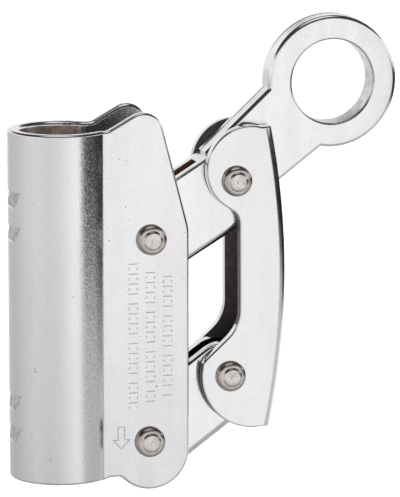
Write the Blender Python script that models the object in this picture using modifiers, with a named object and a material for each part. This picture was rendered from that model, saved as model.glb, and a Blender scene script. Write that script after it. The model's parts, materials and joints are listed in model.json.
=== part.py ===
"""Rope grab for a 16 mm lifeline: a bent-sheet body with a rope tube and two side plates, an eye lever and a
cam arm on riveted pins between the plates, and a folded link that makes the two cams turn together.

The frame is in metres. The origin is on the rope tube's axis at the tube's lower end, +X points towards the
connector eye, +Z runs along the tube, and the front plate is on the -Y side."""

from math import acos, asin, atan2, cos, degrees, hypot, pi, radians, sin, sqrt, tan

import bmesh
import bpy
from mathutils import Matrix, Vector

MM = 0.001  # every size below is in millimetres

# ---- body: one sheet bent into a tube with two side plates ----
SHEET = 3.8  # thickness of the body's sheet
TUBE_R = 16.45  # outer radius of the rope tube
TUBE_LENGTH = 112.0
PLATE_FACE = 12.3  # outer face of each side plate, from the middle plane
CREASE_R = 1.2  # outer radius of the bend where the tube turns into a plate
PLATE_EDGE_X = 39.1  # straight free edge of the plates
LOBE_CENTRE = (26.6, 8.6)  # round lower end of the plates
LOBE_R = PLATE_EDGE_X - LOBE_CENTRE[0]
LOBE_START = -138.0  # degrees
EAR_TOP = (28.6, 120.7, 6.5)  # corners of the plates' upper outline, as (x, z, radius)
EAR_SHOULDER = (PLATE_EDGE_X, 80.0, 12.0)
EAR_FOOT = (11.8, TUBE_LENGTH, 6.0)
TUBE_FOOT = ((10.7, 0.0), (12.3, 0.65), (16.3, 0.75))  # step from the tube's lower end up to the plates

# ---- pivots, as (x, z) ----
LEVER_PIVOT = (26.75, 77.0)  # eye lever on the body
ARM_PIVOT = (26.15, 11.7)  # cam arm on the body
LEVER_LINK = (55.15, 94.3)  # link on the eye lever
ARM_LINK = (53.15, 31.2)  # link on the cam arm
PIN_R = 4.0
PIN_HEAD_R = 4.9
PIN_HEAD_HEIGHT = 3.0
HOLE_GAP = 0.3  # between a pin and its hole
OPEN_PIVOT_GAP = 0.6  # the arm's hole round the lower link pin

# ---- forged lever and arm ----
FORK_HALF = 6.9  # half width of the forked section
FORK_SLOT_HALF = 2.9
LOWER_EDGE_R = 2.8  # rounding along the fork's lower edges
LEVER_DEPTHS = (10.4, 14.8)  # forging above and below the line between its two pins
ARM_DEPTHS = (10.6, 14.3)
FORK_END_REACH = 8.8  # past the link pin
FORK_END_R = 9.5
NECK_REACH = 4.8  # the top edge dips this far to the nose side of the pivot
NECK_R = 5.0
NOSE_SHOULDER = (-20.0, 16.6, 4.0)  # corner behind the teeth, from the pivot, and its radius
HUB_START = -125.0  # degrees
LEVER_SLOT_REACH = 26.6  # the lever's slot is closed before the link pin
ARM_SLOT_REACH = 50.0  # the arm's slot runs out at the end
SLOT_OVER = 34.0  # how far the slot's cutter stands above the pivot
EYE_HALF = 4.8  # half thickness of the eye
SHANK_HALF = 4.65  # the shank lies a little below the eye's faces
EYE_CENTRE = (88.65, 124.0)
EYE_R = 21.2
EYE_HOLE_R = 13.5
EYE_CHAMFER = 0.5
SHANK_UPPER = ((46.6, 102.8), (68.5, 123.2))  # two points on each edge of the shank
SHANK_LOWER = ((60.0, 84.3), (84.0, 102.4))
SHANK_ROOT = (50.0, 92.0)  # inside the forked section
SHANK_INSIDE_EYE = 8.0
NOSE_REACH = 29.85  # from a pivot to its cam nose's lower corner
NOSE_ANGLES = (184.0, 153.0)  # the toothed face, seen from the pivot
NOSE_RISE = 3.5  # growth of the nose's radius along the face
TOOTH_CREST = 0.72  # share of a tooth's pitch at which its lower flank ends
TOOTH_COUNT = 5
TOOTH_DEPTH = 1.1

# ---- link: a folded channel ----
LINK_SHEET = 3.3
LINK_FACE = 10.9  # outer face of each flange
LINK_BEND_R = 2.6
SPINE_R = 242.0  # the link's back is a slow arc
SPINE_X = 71.7
SPINE_Z = 63.6
LINK_TOP = 111.2
LINK_BOTTOM = 13.9
UPPER_LOBE = (59.5, 97.8, 14.0)  # (x, z, radius) round the upper pin
LOWER_LOBE = (61.2, 31.3, 17.4)
UPPER_LOBE_ARC = (74.0, 236.0)  # degrees
LOWER_LOBE_ARC = (166.0, 270.0)
WAIST_CORNERS = ((56.3, 83.1, 5.0), (56.4, 47.1, 12.0), (45.3, 37.0, 4.0))
LINK_MOUTH_X = 30.0  # the hollow's cutter starts left of both lobes
WEB_SLOT_HALF = 5.5  # the shank passes through the link's back
WEB_SLOT_DROP = 19.5  # slot's lower end below the upper link pin

# ---- small parts ----
PIN_SEAT = 0.3  # between a pin's head and the face below it
WASHER_R = 7.0
BODY_WASHER = 1.0  # thickness of the washers between fork and plate
LINK_WASHER = 0.4  # and between fork and link
BUSH_R = 5.0
BUSH_HALF = 2.6
WIRE_R = 0.6
COIL_R = 6.05
COIL_HALF = 2.0  # half length, between the wire's middles
COIL_TURNS = 3
LEG_REACH = 13.5  # moving leg's end, from the pivot
WIRE_BEND_R = 1.5
POCKET_R = 8.2  # room for the coil in the fork's slot
SLOT_FLOOR = 1.0  # shallow floor, above the line between the pins
ANCHOR_REACH = 17.0  # from a pivot to its spring's hole in the back plate
ANCHOR_ANGLE = 80.0
ANCHOR_HOLE_R = 0.95

# ---- punched dents in the tube, opposite the cam noses ----
DENT_TOPS = (92.7, 81.8, 27.6, 17.3)
DENT_HEIGHT = 5.1
DENT_DEEP = 1.87  # depth at a dent's top
DENT_SHALLOW = 0.57  # and at its bottom
DENT_HALF_WIDTH = 8.0
DENT_TOOTH_DROP = 0.4  # the inner bulge lies a little lower than the dent
DENT_TOOTH_REACH = 2.4  # the bulge reaches this far into the wall

OVER = 10.0  # how far cutters stand past what they cut
CUT_HALF = 20.0  # half length of the cutters for the pins' bores

ARC_STEP = 9.0  # degrees per facet on outlines
ROUND_STEPS = 32


# ---------------------------------------------------------------- helpers

def clear_scene():
    for obj in list(bpy.data.objects):
        bpy.data.objects.remove(obj, do_unlink=True)


def new_collection(name):
    collection = bpy.data.collections.new(name)
    bpy.context.scene.collection.children.link(collection)
    return collection


def arc(centre, radius, start, end, step=ARC_STEP):
    """Points on an arc from start to end, in degrees, both ends included."""
    count = max(2, int(abs(end - start) / step + 0.999))
    points = []
    for i in range(count + 1):
        angle = radians(start + (end - start) * i / count)
        points.append((centre[0] + radius * cos(angle), centre[1] + radius * sin(angle)))
    return points


def rounded(corners):
    """An outline from (x, y, radius) corners, each corner turned into an arc of its radius."""
    points = []
    for i, (x, y, radius) in enumerate(corners):
        corner = Vector((x, y))
        if radius == 0:
            points.append((x, y))
            continue
        to_last = (Vector(corners[i - 1][:2]) - corner).normalized()
        to_next = (Vector(corners[(i + 1) % len(corners)][:2]) - corner).normalized()
        half = acos(max(-1.0, min(1.0, to_last.dot(to_next)))) / 2
        centre = corner + (to_last + to_next).normalized() * (radius / sin(half))
        first = corner + to_last * (radius / tan(half)) - centre
        last = corner + to_next * (radius / tan(half)) - centre
        start = degrees(atan2(first.y, first.x))
        turn = degrees(atan2(last.y, last.x)) - start
        turn = (turn + 180) % 360 - 180
        points += arc(centre, radius, start, start + turn, 2 * ARC_STEP)
    return points


def prism(name, outlines, half, upright=True):
    """A mesh prism from closed outlines (holes included), reaching `half` to each side of its outlines' plane.
    An upright one has its outlines in the XZ plane; the other has them in XY and is extruded along Z."""
    curve = bpy.data.curves.new(name, "CURVE")
    curve.dimensions = "2D"
    curve.fill_mode = "BOTH"
    curve.extrude = half * MM
    for outline in outlines:
        spline = curve.splines.new("POLY")
        spline.points.add(len(outline) - 1)
        for point, (x, y) in zip(spline.points, outline):
            point.co = (x * MM, y * MM, 0, 1)
        spline.use_cyclic_u = True
    obj = bpy.data.objects.new(name, curve)
    if upright:
        obj.rotation_euler = (pi / 2, 0, 0)
    parts.objects.link(obj)
    return curve_to_mesh(obj)


def curve_to_mesh(obj):
    """Replace a curve object by a welded mesh object of the same name and place."""
    bpy.context.view_layer.update()
    evaluated = obj.evaluated_get(bpy.context.evaluated_depsgraph_get())
    mesh = bpy.data.meshes.new_from_object(evaluated)
    place = obj.matrix_world.copy()
    name = obj.name
    bpy.data.objects.remove(obj, do_unlink=True)
    bm = bmesh.new()
    bm.from_mesh(mesh)
    bmesh.ops.remove_doubles(bm, verts=bm.verts, dist=1e-6)
    bmesh.ops.transform(bm, matrix=place, verts=bm.verts)
    bmesh.ops.recalc_face_normals(bm, faces=bm.faces)
    bm.to_mesh(mesh)
    bm.free()
    mesh_obj = bpy.data.objects.new(name, mesh)
    parts.objects.link(mesh_obj)
    return mesh_obj


def round_bar(name, place, radius, half, steps=ROUND_STEPS):
    """A cylinder along Y through the (x, z) place."""
    bm = bmesh.new()
    turn = Matrix.Rotation(pi / 2, 4, "X")
    move = Matrix.Translation((place[0] * MM, 0, place[1] * MM))
    bmesh.ops.create_cone(bm, cap_ends=True, segments=steps, radius1=radius * MM, radius2=radius * MM,
                          depth=2 * half * MM, matrix=move @ turn)
    mesh = bpy.data.meshes.new(name)
    bm.to_mesh(mesh)
    bm.free()
    obj = bpy.data.objects.new(name, mesh)
    parts.objects.link(obj)
    return obj


def block(name, size, place):
    """A box of a size, in millimetres, placed by a matrix."""
    bm = bmesh.new()
    scale = Matrix.Diagonal((size[0] * MM, size[1] * MM, size[2] * MM, 1))
    bmesh.ops.create_cube(bm, size=1, matrix=place @ scale)
    mesh = bpy.data.meshes.new(name)
    bm.to_mesh(mesh)
    bm.free()
    obj = bpy.data.objects.new(name, mesh)
    parts.objects.link(obj)
    return obj


def boolean(obj, other, operation):
    """Cut, join or intersect with another object, which becomes a hidden guide."""
    modifier = obj.modifiers.new(other.name, "BOOLEAN")
    modifier.operation = operation
    modifier.object = other
    modifier.solver = "EXACT"
    parts.objects.unlink(other)
    cutters.objects.link(other)
    other.hide_render = True
    other.display_type = "WIRE"


def material(name, colour, roughness, metallic=1.0):
    made = bpy.data.materials.new(name)
    made.use_nodes = True
    shader = made.node_tree.nodes["Principled BSDF"]
    shader.inputs["Base Color"].default_value = (*colour, 1)
    shader.inputs["Roughness"].default_value = roughness
    shader.inputs["Metallic"].default_value = metallic
    return made


def finish(obj, look, pivot=None):
    """Give the object its material, smooth shading and, on a moving piece, its origin on the joint's axis."""
    obj.data.materials.clear()
    obj.data.materials.append(look)
    obj.data.shade_smooth()
    obj.data.set_sharp_from_angle(angle=radians(30))
    if pivot:
        offset = Vector((pivot[0] * MM, 0, pivot[1] * MM))
        obj.data.transform(Matrix.Translation(-offset))
        obj.location = offset


def along(pivot, link):
    """Unit vectors along the line from a pivot to its link pin, and square to it, upwards; and its length."""
    dx, dz = link[0] - pivot[0], link[1] - pivot[1]
    reach = hypot(dx, dz)
    return (dx / reach, dz / reach), (-dz / reach, dx / reach), reach


def local(pivot, frame, u, n):
    """The (x, z) place that lies u along and n above the line through the pivot."""
    along_dir, up_dir = frame
    return (pivot[0] + u * along_dir[0] + n * up_dir[0], pivot[1] + u * along_dir[1] + n * up_dir[1])


# ---------------------------------------------------------------- body

def keyhole_section():
    """The sheet's section across the tube: a round tube that opens into two parallel plates."""
    mid_r = TUBE_R - SHEET / 2
    bend_r = CREASE_R + SHEET / 2
    bend_y = PLATE_FACE - SHEET / 2 + bend_r
    bend_x = sqrt((mid_r + bend_r) ** 2 - bend_y ** 2)
    open_angle = degrees(atan2(bend_y, bend_x))
    far_x = PLATE_EDGE_X + OVER
    crease = arc((bend_x, bend_y), CREASE_R, 180 + open_angle, 270, 20)
    neck = arc((bend_x, bend_y), CREASE_R + SHEET, 270, 180 + open_angle, 12)
    outside = arc((0, 0), TUBE_R, 360 - open_angle, open_angle, 7.5)
    inside = arc((0, 0), TUBE_R - SHEET, open_angle, 360 - open_angle, 7.5)
    lower_crease = [(x, -y) for x, y in reversed(crease)]
    lower_neck = [(x, -y) for x, y in reversed(neck)]
    return (
        [(far_x, -PLATE_FACE)] + lower_crease + outside[1:-1] + crease + [(far_x, PLATE_FACE)]
        + [(far_x, PLATE_FACE - SHEET)] + neck + inside[1:-1] + lower_neck + [(far_x, SHEET - PLATE_FACE)]
    )


def side_outline():
    """The body's outline seen from the side: square tube ends, a round lobe below and an ear above."""
    behind = -TUBE_R - OVER
    lobe = arc(LOBE_CENTRE, LOBE_R, LOBE_START, 0)
    ear = rounded([
        (*lobe[-1], 0),
        EAR_SHOULDER,
        EAR_TOP,
        EAR_FOOT,
        (behind, TUBE_LENGTH, 0),
        (behind, 0, 0),
    ])
    return lobe[:-1] + ear + list(TUBE_FOOT)


def dent_outline(top, inward, outer_x):
    """Side outline of a dent in the tube's back wall, moved inward: deep at its top, shallow below."""
    foot = top - DENT_HEIGHT
    deep_x = -(TUBE_R - DENT_DEEP - inward)
    shallow_x = -(TUBE_R - DENT_SHALLOW - inward)
    return [(deep_x, top), (shallow_x, foot), (-outer_x, foot), (-outer_x, top)]


def make_body():
    body = prism("body_shell", [keyhole_section()], TUBE_LENGTH, upright=False)
    body.data.transform(Matrix.Translation((0, 0, TUBE_LENGTH / 2 * MM)))
    boolean(body, prism("body_side_cutter", [side_outline()], 2 * TUBE_R), "INTERSECT")
    for name, pivot in (("lever", LEVER_PIVOT), ("arm", ARM_PIVOT)):
        boolean(body, round_bar(f"{name}_pin_bore", pivot, PIN_R + HOLE_GAP, CUT_HALF), "DIFFERENCE")
        bore = round_bar(f"{name}_anchor_bore", spring_anchor(pivot), ANCHOR_HOLE_R, SHEET, 12)
        bore.data.transform(Matrix.Translation((0, (PLATE_FACE - SHEET / 2) * MM, 0)))
        boolean(body, bore, "DIFFERENCE")
    for i, top in enumerate(DENT_TOPS):
        tooth = dent_outline(top - DENT_TOOTH_DROP, SHEET, TUBE_R - DENT_TOOTH_REACH)
        boolean(body, prism(f"dent_tooth_{i}", [tooth], DENT_HALF_WIDTH), "UNION")
        dent = dent_outline(top, 0, TUBE_R + OVER)
        boolean(body, prism(f"dent_cutter_{i}", [dent], DENT_HALF_WIDTH + OVER), "DIFFERENCE")
    return body


# ---------------------------------------------------------------- forged lever and arm

def nose_face(pivot):
    """The toothed cam face: its radius grows from the lower corner up, and teeth have steep upper sides."""
    start, end = NOSE_ANGLES
    points = []
    for i in range(TOOTH_COUNT):
        for share, depth in ((0.0, 0.0), (TOOTH_CREST, TOOTH_DEPTH)):
            t = (i + share) / TOOTH_COUNT
            radius = NOSE_REACH + NOSE_RISE * t - depth
            angle = radians(start + (end - start) * t)
            points.append((pivot[0] + radius * cos(angle), pivot[1] + radius * sin(angle)))
    radius = NOSE_REACH + NOSE_RISE
    points.append((pivot[0] + radius * cos(radians(end)), pivot[1] + radius * sin(radians(end))))
    return points


def fork_outline(pivot, link, above, below):
    """Side outline of a forked section: round hub, cam nose to the left and a round boss at the link pin."""
    along_dir, up_dir, reach = along(pivot, link)
    frame = (along_dir, up_dir)
    tilt = degrees(atan2(along_dir[1], along_dir[0]))
    hub = arc(pivot, below, HUB_START, tilt - 90)
    rest = rounded([
        (*hub[-1], 0),
        (*local(pivot, frame, reach + FORK_END_REACH, -below), FORK_END_R),
        (*local(pivot, frame, reach + FORK_END_REACH, above), above - 1),
        (*local(pivot, frame, -NECK_REACH, above), NECK_R),
        (pivot[0] + NOSE_SHOULDER[0], pivot[1] + NOSE_SHOULDER[1], NOSE_SHOULDER[2]),
        (*nose_face(pivot)[-1], 0),
    ])
    return list(reversed(nose_face(pivot)))[1:] + hub[:-1] + rest


def round_lower_edges(fork, pivot, link, below):
    """Round the edges along the underside of the hub and of the straight part towards the link."""
    along_dir, up_dir, reach = along(pivot, link)

    def on_underside(co):
        dx, dz = co.x / MM - pivot[0], co.z / MM - pivot[1]
        u = dx * along_dir[0] + dz * along_dir[1]
        n = dx * up_dir[0] + dz * up_dir[1]
        distance = hypot(dx, dz) if u < 0 else -n
        return abs(distance - below) < 0.01 and u < reach and n < 0

    bm = bmesh.new()
    bm.from_mesh(fork.data)
    bmesh.ops.dissolve_limit(bm, angle_limit=0.001, verts=bm.verts, edges=bm.edges)
    edges = []
    for edge in bm.edges:
        first, second = (vert.co for vert in edge.verts)
        if abs(first.y - second.y) < 1e-6 and on_underside(first) and on_underside(second):
            edges.append(edge)
    bmesh.ops.bevel(bm, geom=edges, offset=LOWER_EDGE_R * MM, segments=2, profile=0.5, affect="EDGES")
    bmesh.ops.triangulate(bm, faces=bm.faces)
    bm.to_mesh(fork.data)
    bm.free()


def fork_slot_outline(pivot, link, right_end):
    """The slot between the cheeks, from the side: a pocket round the pin for the coil, a ledge on the nose
    side for the spring's moving leg, and a shallower floor towards the link."""
    along_dir, up_dir, _ = along(pivot, link)
    frame = (along_dir, up_dir)
    tilt = degrees(atan2(along_dir[1], along_dir[0]))
    ledge = COIL_R - WIRE_R - HOLE_GAP
    pocket_start = 180 - degrees(asin(ledge / POCKET_R))
    pocket_end = 360 + tilt + degrees(asin(SLOT_FLOOR / POCKET_R))
    return arc(pivot, POCKET_R, pocket_start, pocket_end) + [
        local(pivot, frame, right_end, SLOT_FLOOR),
        local(pivot, frame, right_end, SLOT_OVER),
        (pivot[0] - LEG_REACH - WIRE_BEND_R, pivot[1] + SLOT_OVER),
        (pivot[0] - LEG_REACH - WIRE_BEND_R, pivot[1] + ledge),
    ]


def shank_corners():
    """Where the shank's upper and lower edges meet the round eye."""
    corner = intersect_circle(*SHANK_UPPER, EYE_CENTRE, EYE_R)
    foot = intersect_circle(*SHANK_LOWER, EYE_CENTRE, EYE_R)
    return corner, foot


def intersect_circle(first, second, centre, radius):
    """Where the line through two points first meets a circle, going from the first to the second."""
    dx, dz = second[0] - first[0], second[1] - first[1]
    length = hypot(dx, dz)
    dx, dz = dx / length, dz / length
    fx, fz = first[0] - centre[0], first[1] - centre[1]
    middle = fx * dx + fz * dz
    step = -middle - sqrt(middle * middle - fx * fx - fz * fz + radius * radius)
    return (first[0] + step * dx, first[1] + step * dz)


def make_lever():
    lever = prism("eye_lever", [fork_outline(LEVER_PIVOT, LEVER_LINK, *LEVER_DEPTHS)], FORK_HALF)
    round_lower_edges(lever, LEVER_PIVOT, LEVER_LINK, LEVER_DEPTHS[1])
    corner, foot = shank_corners()
    inside_eye = (EYE_CENTRE[0] - SHANK_INSIDE_EYE, EYE_CENTRE[1] - SHANK_INSIDE_EYE)
    shank = [SHANK_UPPER[0], SHANK_ROOT, SHANK_LOWER[0], foot, inside_eye, corner]
    boolean(lever, prism("shank_guide", [shank], SHANK_HALF), "UNION")
    boolean(lever, round_bar("eye_guide", EYE_CENTRE, EYE_R, EYE_HALF, 64), "UNION")
    boolean(lever, eye_hole_cutter(), "DIFFERENCE")
    slot = fork_slot_outline(LEVER_PIVOT, LEVER_LINK, LEVER_SLOT_REACH)
    boolean(lever, prism("lever_slot_cutter", [slot], FORK_SLOT_HALF), "DIFFERENCE")
    boolean(lever, round_bar("lever_pivot_bore", LEVER_PIVOT, PIN_R + HOLE_GAP, CUT_HALF), "DIFFERENCE")
    boolean(lever, round_bar("lever_link_bore", LEVER_LINK, PIN_R + HOLE_GAP, CUT_HALF), "DIFFERENCE")
    return lever


def eye_hole_cutter():
    """A turned cutter for the eye's hole, wider at both mouths."""
    wide = EYE_HOLE_R + EYE_CHAMFER
    over = 2.0  # the flare goes on past the eye's faces
    profile = [(0, EYE_HALF + over), (wide + over, EYE_HALF + over), (EYE_HOLE_R, EYE_HALF - EYE_CHAMFER),
               (EYE_HOLE_R, EYE_CHAMFER - EYE_HALF), (wide + over, -EYE_HALF - over), (0, -EYE_HALF - over)]
    return turned("eye_hole_cutter", EYE_CENTRE, profile, 48)


def make_arm():
    arm = prism("lower_cam_arm", [fork_outline(ARM_PIVOT, ARM_LINK, *ARM_DEPTHS)], FORK_HALF)
    round_lower_edges(arm, ARM_PIVOT, ARM_LINK, ARM_DEPTHS[1])
    slot = fork_slot_outline(ARM_PIVOT, ARM_LINK, ARM_SLOT_REACH)
    boolean(arm, prism("arm_slot_cutter", [slot], FORK_SLOT_HALF), "DIFFERENCE")
    boolean(arm, round_bar("arm_pivot_bore", ARM_PIVOT, PIN_R + HOLE_GAP, CUT_HALF), "DIFFERENCE")
    boolean(arm, round_bar("arm_link_bore", ARM_LINK, PIN_R + OPEN_PIVOT_GAP, CUT_HALF), "DIFFERENCE")
    return arm


# ---------------------------------------------------------------- link

def spine_arc(radius, low, high):
    """The link's back between two heights, as a slow arc about a centre far to the left."""
    centre = (SPINE_X - SPINE_R, SPINE_Z)
    start = degrees(atan2(low - SPINE_Z, radius))
    end = degrees(atan2(high - SPINE_Z, radius))
    return arc(centre, radius, start, end, 3)


def link_outline():
    """A flange's outline: a lobe round each pin, a slender waist and the curved back."""
    upper_lobe = arc(UPPER_LOBE[:2], UPPER_LOBE[2], *UPPER_LOBE_ARC)
    lower_lobe = arc(LOWER_LOBE[:2], LOWER_LOBE[2], *LOWER_LOBE_ARC)
    waist = rounded([(*upper_lobe[-1], 0), *WAIST_CORNERS, (*lower_lobe[0], 0)])
    back = spine_arc(SPINE_R, LINK_BOTTOM, LINK_TOP)
    return upper_lobe[:-1] + waist + lower_lobe[1:] + back


def make_link():
    link = prism("link_channel", [link_outline()], LINK_FACE)
    round_spine(link)
    inside = spine_arc(SPINE_R - LINK_SHEET, LINK_BOTTOM - OVER, LINK_TOP + OVER)
    hollow = [(LINK_MOUTH_X, LINK_TOP + OVER), (LINK_MOUTH_X, LINK_BOTTOM - OVER)] + inside
    boolean(link, prism("link_hollow_cutter", [hollow], LINK_FACE - LINK_SHEET), "DIFFERENCE")
    slot_bottom = LEVER_LINK[1] - WEB_SLOT_DROP
    slot_size = (2 * OVER, 2 * WEB_SLOT_HALF, LINK_TOP + OVER - slot_bottom)
    slot_middle = (SPINE_X * MM, 0, (LINK_TOP + OVER + slot_bottom) / 2 * MM)
    boolean(link, block("web_slot_cutter", slot_size, Matrix.Translation(slot_middle)), "DIFFERENCE")
    boolean(link, round_bar("upper_link_bore", LEVER_LINK, PIN_R + HOLE_GAP, CUT_HALF), "DIFFERENCE")
    boolean(link, round_bar("lower_link_bore", ARM_LINK, PIN_R + HOLE_GAP, CUT_HALF), "DIFFERENCE")
    return link


def round_spine(link):
    """Round the two folds along the link's back."""
    centre_x = SPINE_X - SPINE_R
    bm = bmesh.new()
    bm.from_mesh(link.data)
    folds = []
    for edge in bm.edges:
        ends = [(v.co.x / MM - centre_x, v.co.y / MM, v.co.z / MM - SPINE_Z) for v in edge.verts]
        on_face = all(abs(abs(y) - LINK_FACE) < 0.01 for _, y, _ in ends) and ends[0][1] * ends[1][1] > 0
        on_spine = all(abs(hypot(x, z) - SPINE_R) < 0.01 for x, _, z in ends)
        if on_face and on_spine:
            folds.append(edge)
    bmesh.ops.bevel(bm, geom=folds, offset=LINK_BEND_R * MM, segments=3, profile=0.5, affect="EDGES")
    bm.to_mesh(link.data)
    bm.free()


# ---------------------------------------------------------------- turned and small parts

def turned(name, place, profile, steps=ROUND_STEPS):
    """A profile of (radius, y) points turned about the Y axis through the (x, z) place, top to bottom."""
    mesh = bpy.data.meshes.new(name)
    points = [(radius * MM, 0, y * MM) for radius, y in profile]
    edges = [(i, i + 1) for i in range(len(points) - 1)]
    if profile[0][0] > 0:
        edges.append((len(points) - 1, 0))
    mesh.from_pydata(points, edges, [])
    obj = bpy.data.objects.new(name, mesh)
    obj.location = (place[0] * MM, 0, place[1] * MM)
    obj.rotation_euler = (-pi / 2, 0, 0)
    screw = obj.modifiers.new("turn", "SCREW")
    screw.steps = screw.render_steps = steps
    screw.use_merge_vertices = True
    screw.merge_threshold = 0.00001
    parts.objects.link(obj)
    return obj


def make_pin(name, place, face):
    """A riveted pin: two chamfered heads with a low dome, standing on the outer faces it goes through."""
    seat = face + PIN_SEAT
    top = face + PIN_HEAD_HEIGHT
    head = [(0, top), (2.4, top - 0.08), (3.9, top - 0.5), (4.7, top - 1.25), (PIN_HEAD_R, seat + 0.9),
            (PIN_HEAD_R, seat), (PIN_R, seat)]
    return turned(name, place, head + [(radius, -y) for radius, y in reversed(head)], 24)


def make_ring(name, place, inner, outer, middle, half):
    """A flat ring or sleeve about the Y axis."""
    profile = [(inner, middle + half), (outer, middle + half), (outer, middle - half), (inner, middle - half)]
    return turned(name, place, profile, 24)


def spring_anchor(pivot):
    """The (x, z) place of the hole that holds the spring's fixed leg."""
    angle = radians(ANCHOR_ANGLE)
    return (pivot[0] + ANCHOR_REACH * cos(angle), pivot[1] + ANCHOR_REACH * sin(angle))


def spring_route(pivot):
    """The wire's route: a leg on the slot's ledge, the coil, and a leg that ends in the back plate's hole."""
    last = ANCHOR_ANGLE + degrees(acos(COIL_R / ANCHOR_REACH)) - 360 * COIL_TURNS
    route = [(pivot[0] - LEG_REACH, -COIL_HALF, pivot[1] + COIL_R)]
    count = int((90 - last) / 18)
    for i in range(count + 1):
        t = i / count
        angle = radians(90 + (last - 90) * t)
        x, z = pivot[0] + COIL_R * cos(angle), pivot[1] + COIL_R * sin(angle)
        route.append((x, COIL_HALF * (2 * t - 1), z))
    x, z = spring_anchor(pivot)
    toward = Vector((route[-1][0] - x, route[-1][2] - z)).normalized()
    for i in range(5):
        angle = radians(90 * i / 4)
        back = WIRE_BEND_R * (1 - sin(angle))
        side = COIL_HALF + WIRE_BEND_R * (1 - cos(angle))
        route.append((x + toward.x * back, side, z + toward.y * back))
    route.append((x, PLATE_FACE - 1.0, z))
    return route


def make_spring(name, pivot):
    curve = bpy.data.curves.new(name, "CURVE")
    curve.dimensions = "3D"
    curve.bevel_depth = WIRE_R * MM
    curve.bevel_resolution = 2
    curve.use_fill_caps = True
    route = spring_route(pivot)
    spline = curve.splines.new("POLY")
    spline.points.add(len(route) - 1)
    for point, (x, y, z) in zip(spline.points, route):
        point.co = (x * MM, y * MM, z * MM, 1)
    obj = bpy.data.objects.new(name, curve)
    parts.objects.link(obj)
    return curve_to_mesh(obj)


# ---------------------------------------------------------------- assembly

clear_scene()
parts = new_collection("rope_grab")
cutters = new_collection("cutters")

plated_sheet = material("plated_sheet", (0.80, 0.80, 0.82), 0.14)
plated_forging = material("plated_forging", (0.80, 0.80, 0.81), 0.20)
stainless = material("stainless_pin", (0.52, 0.49, 0.46), 0.30)
spring_steel = material("spring_steel", (0.30, 0.29, 0.28), 0.35)
washer_steel = material("washer_steel", (0.62, 0.61, 0.59), 0.32)
bronze = material("bush_bronze", (0.50, 0.35, 0.17), 0.40)

finish(make_body(), plated_sheet)
finish(make_lever(), plated_forging, LEVER_PIVOT)
finish(make_arm(), plated_forging, ARM_PIVOT)
finish(make_link(), plated_sheet, LEVER_LINK)

finish(make_pin("upper_body_pin", LEVER_PIVOT, PLATE_FACE), stainless)
finish(make_pin("lower_body_pin", ARM_PIVOT, PLATE_FACE), stainless)
finish(make_pin("upper_link_pin", LEVER_LINK, LINK_FACE), stainless)
finish(make_pin("lower_link_pin", ARM_LINK, LINK_FACE), stainless)

for prefix, place, wall, thickness in (
    ("lever", LEVER_PIVOT, PLATE_FACE - SHEET, BODY_WASHER),
    ("arm", ARM_PIVOT, PLATE_FACE - SHEET, BODY_WASHER),
    ("upper_link", LEVER_LINK, LINK_FACE - LINK_SHEET, LINK_WASHER),
    ("lower_link", ARM_LINK, LINK_FACE - LINK_SHEET, LINK_WASHER),
):
    for side, sign in (("front", -1), ("back", 1)):
        name = f"{prefix}_washer_{side}"
        middle = sign * (FORK_HALF + wall) / 2
        finish(make_ring(name, place, PIN_R + HOLE_GAP, WASHER_R, middle, thickness / 2), washer_steel)

for prefix, pivot in (("lever", LEVER_PIVOT), ("arm", ARM_PIVOT)):
    finish(make_ring(f"{prefix}_bush", pivot, PIN_R + HOLE_GAP, BUSH_R, 0, BUSH_HALF), bronze)
    finish(make_spring(f"{prefix}_spring", pivot), spring_steel)
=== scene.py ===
"""Looks of the rope grab: refined meshes for every piece, bright plating, a white studio and the camera."""
import json
from math import acos, asin, atan2, cos, degrees, hypot, pi, radians, sin, sqrt, tan

import bmesh
import bpy
from mathutils import Matrix, Vector


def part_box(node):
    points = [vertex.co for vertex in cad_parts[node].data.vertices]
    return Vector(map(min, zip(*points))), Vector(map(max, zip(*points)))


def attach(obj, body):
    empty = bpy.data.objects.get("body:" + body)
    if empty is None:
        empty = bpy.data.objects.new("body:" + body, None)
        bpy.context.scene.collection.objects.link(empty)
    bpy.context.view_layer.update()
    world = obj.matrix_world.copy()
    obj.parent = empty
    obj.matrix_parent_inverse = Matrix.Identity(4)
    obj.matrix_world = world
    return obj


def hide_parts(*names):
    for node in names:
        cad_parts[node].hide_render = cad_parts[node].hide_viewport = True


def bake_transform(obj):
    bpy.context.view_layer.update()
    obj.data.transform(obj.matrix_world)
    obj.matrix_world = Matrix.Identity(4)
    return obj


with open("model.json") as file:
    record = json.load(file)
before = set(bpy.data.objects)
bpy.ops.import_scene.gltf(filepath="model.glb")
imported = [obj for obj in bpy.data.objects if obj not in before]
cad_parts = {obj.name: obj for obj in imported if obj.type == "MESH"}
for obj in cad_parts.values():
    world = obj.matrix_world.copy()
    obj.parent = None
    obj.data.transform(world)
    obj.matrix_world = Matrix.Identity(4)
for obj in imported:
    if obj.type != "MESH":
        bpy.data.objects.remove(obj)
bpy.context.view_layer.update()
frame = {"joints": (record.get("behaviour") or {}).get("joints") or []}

MM = 0.001  # up to the studio, every length is in millimetres and every angle in degrees

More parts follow.
